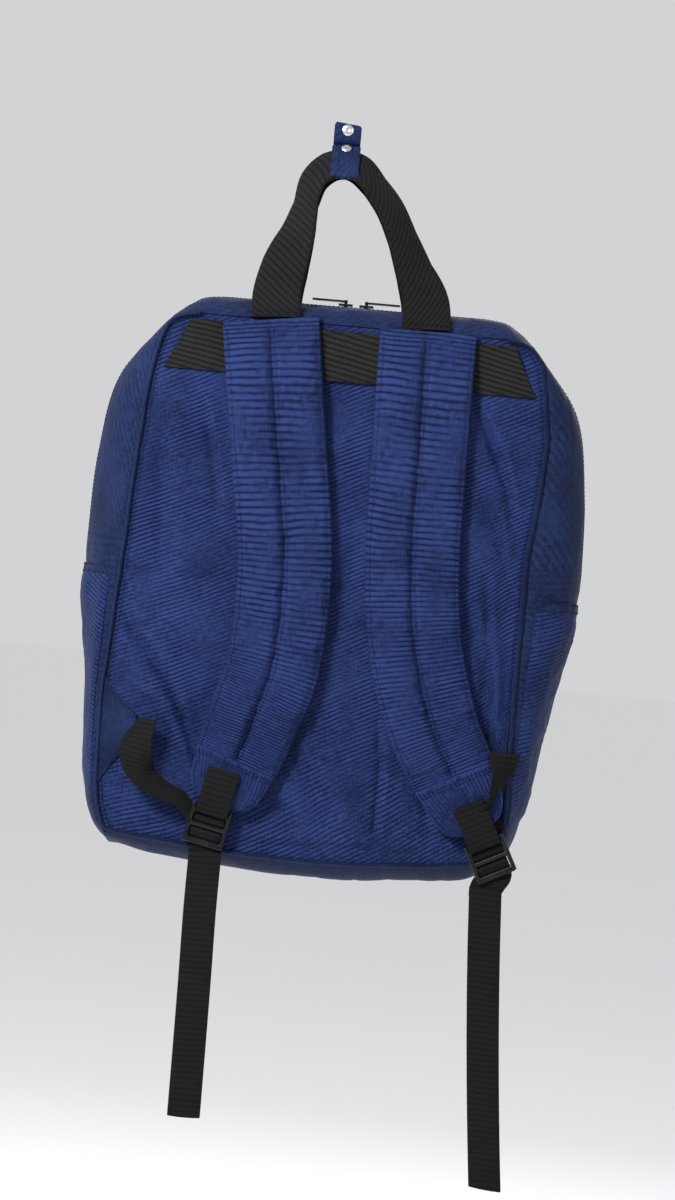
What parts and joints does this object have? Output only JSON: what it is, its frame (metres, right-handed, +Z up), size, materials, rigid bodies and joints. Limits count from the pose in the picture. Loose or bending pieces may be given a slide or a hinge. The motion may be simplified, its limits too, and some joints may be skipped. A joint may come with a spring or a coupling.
{
  "type": "travel backpack",
  "caption": "Soft navy fabric backpack hanging by its two webbing handles, with padded shoulder straps, ladder-lock buckles and free webbing tails.",
  "frame": {"origin": "the point where a hook bears on the underside of the two carrying handles", "axes": "+Z up along the hanging bag, -Y out of the harness side, +X to the right as seen from the harness side"},
  "size_m": [0.3782, 0.1226, 0.8023],
  "materials": {
    "navy_fabric": "woven nylon, slight sheen",
    "black_webbing": "ribbed polyester webbing, matt",
    "strap_lining": "plain woven nylon",
    "foam": "closed-cell foam sheet",
    "zip_nylon": "woven zip tape and nylon coil",
    "black_plastic": "moulded, low gloss",
    "snap_metal": "bright plated steel"
  },
  "bodies": {
    "bag": {"back_panel": "navy_fabric", "back_foam": "foam", "trim_band": "black_webbing", "back_piping": "navy_fabric", "bottom_panel": "navy_fabric", "front_lower_panel": "navy_fabric", "front_piping": "navy_fabric", "rear_gusset_left": "navy_fabric", "rear_gusset_top": "navy_fabric", "rear_gusset_right": "navy_fabric", "rear_zip_tape": "zip_nylon", "rear_zip_coil": "zip_nylon", "left_side_panel": "navy_fabric", "left_side_pocket": "navy_fabric", "left_pocket_hem": "navy_fabric", "left_anchor_tab": "navy_fabric", "left_adjuster_webbing": "black_webbing", "right_side_panel": "navy_fabric", "right_side_pocket": "navy_fabric", "right_pocket_hem": "navy_fabric", "right_anchor_tab": "navy_fabric", "right_adjuster_webbing": "black_webbing", "front_pocket_panel": "navy_fabric", "pocket_zip_tape": "zip_nylon", "pocket_zip_coil": "zip_nylon"},
    "lid": {"lid_panel": "navy_fabric", "front_gusset_left": "navy_fabric", "front_gusset_top": "navy_fabric", "front_gusset_right": "navy_fabric", "front_zip_tape": "zip_nylon", "front_zip_coil": "zip_nylon", "lid_piping": "navy_fabric"},
    "front_handle": {"front_handle": "black_webbing"},
    "back_handle": {"back_handle": "black_webbing", "handle_wrap": "navy_fabric", "snap_stud": "snap_metal"},
    "wrap_flap": {"wrap_flap": "navy_fabric", "snap_cap": "snap_metal"},
    "strap_left": {"left_strap_cover": "navy_fabric", "left_strap_foam": "foam", "left_strap_lining": "strap_lining", "left_end_webbing": "black_webbing"},
    "strap_right": {"right_strap_cover": "navy_fabric", "right_strap_foam": "foam", "right_strap_lining": "strap_lining", "right_end_webbing": "black_webbing"},
    "buckle_left": {"left_buckle": "black_plastic"},
    "buckle_right": {"right_buckle": "black_plastic"},
    "tail_left": {"left_webbing_tail": "black_webbing"},
    "tail_right": {"right_webbing_tail": "black_webbing"},
    "zip_slider_left": {"left_zip_slider": "black_plastic"},
    "zip_slider_right": {"right_zip_slider": "black_plastic"},
    "zip_pull_left": {"left_zip_pull": "black_plastic"},
    "zip_pull_right": {"right_zip_pull": "black_plastic"},
    "pocket_slider": {"pocket_zip_slider": "black_plastic"},
    "pocket_pull": {"pocket_zip_pull": "black_plastic"}
  },
  "joints": [
    {"name": "lid_fold", "type": "hinge", "parent": "bag", "child": "lid", "pos_m": [0.018, 0.0563, -0.288], "axis": [-1, 0, 0], "range_deg": [0, 65]},
    {"name": "front_handle_swing", "type": "hinge", "parent": "lid", "child": "front_handle", "pos_m": [0.018, 0.036, -0.113], "axis": [-1, 0, 0], "range_deg": [0, 90]},
    {"name": "back_handle_swing", "type": "hinge", "parent": "bag", "child": "back_handle", "pos_m": [0.018, -0.0386, -0.1125], "axis": [1, 0, 0], "range_deg": [0, 80]},
    {"name": "wrap_flap_fold", "type": "hinge", "parent": "back_handle", "child": "wrap_flap", "pos_m": [0, -0.00296, 0.03234], "axis": [1, 0, 0], "range_deg": [0, 125]},
    {"name": "left_strap_swing", "type": "hinge", "parent": "bag", "child": "strap_left", "pos_m": [-0.045, -0.0382, -0.115], "axis": [-1, 0, 0], "range_deg": [0, 30]},
    {"name": "right_strap_swing", "type": "hinge", "parent": "bag", "child": "strap_right", "pos_m": [0.075, -0.0382, -0.115], "axis": [-1, 0, 0], "range_deg": [0, 30]},
    {"name": "left_buckle_swing", "type": "hinge", "parent": "strap_left", "child": "buckle_left", "pos_m": [-0.0575, -0.047, -0.491], "axis": [-0.9781, 0, 0.2079], "range_deg": [0, 70]},
    {"name": "right_buckle_swing", "type": "hinge", "parent": "strap_right", "child": "buckle_right", "pos_m": [0.1505, -0.047, -0.498], "axis": [-0.891, 0, -0.454], "range_deg": [0, 70]},
    {"name": "left_tail_swing", "type": "hinge", "parent": "buckle_left", "child": "tail_left", "pos_m": [-0.06, -0.047, -0.521], "axis": [-1, 0, 0], "range_deg": [-15, 55]},
    {"name": "right_tail_swing", "type": "hinge", "parent": "buckle_right", "child": "tail_right", "pos_m": [0.1545, -0.047, -0.531], "axis": [-1, 0, 0], "range_deg": [-15, 55]},
    {"name": "left_zip_slide", "type": "slide", "parent": "bag", "child": "zip_slider_left", "axis": [-1, 0, 0], "range_m": [0, 0.08]},
    {"name": "right_zip_slide", "type": "slide", "parent": "bag", "child": "zip_slider_right", "axis": [1, 0, 0], "range_m": [0, 0.08]},
    {"name": "left_pull_lift", "type": "hinge", "parent": "zip_slider_left", "child": "zip_pull_left", "pos_m": [0.01, -0.003, -0.0927], "axis": [0, 1, 0], "range_deg": [0, 95]},
    {"name": "right_pull_lift", "type": "hinge", "parent": "zip_slider_right", "child": "zip_pull_right", "pos_m": [0.026, -0.003, -0.0927], "axis": [0, -1, 0], "range_deg": [0, 95]},
    {"name": "pocket_zip_slide", "type": "slide", "parent": "bag", "child": "pocket_slider", "axis": [1, 0, 0], "range_m": [0, 0.19]},
    {"name": "pocket_pull_lift", "type": "hinge", "parent": "pocket_slider", "child": "pocket_pull", "pos_m": [-0.078, 0.0688, -0.321], "axis": [1, 0, 0], "range_deg": [0, 120]}
  ]
}
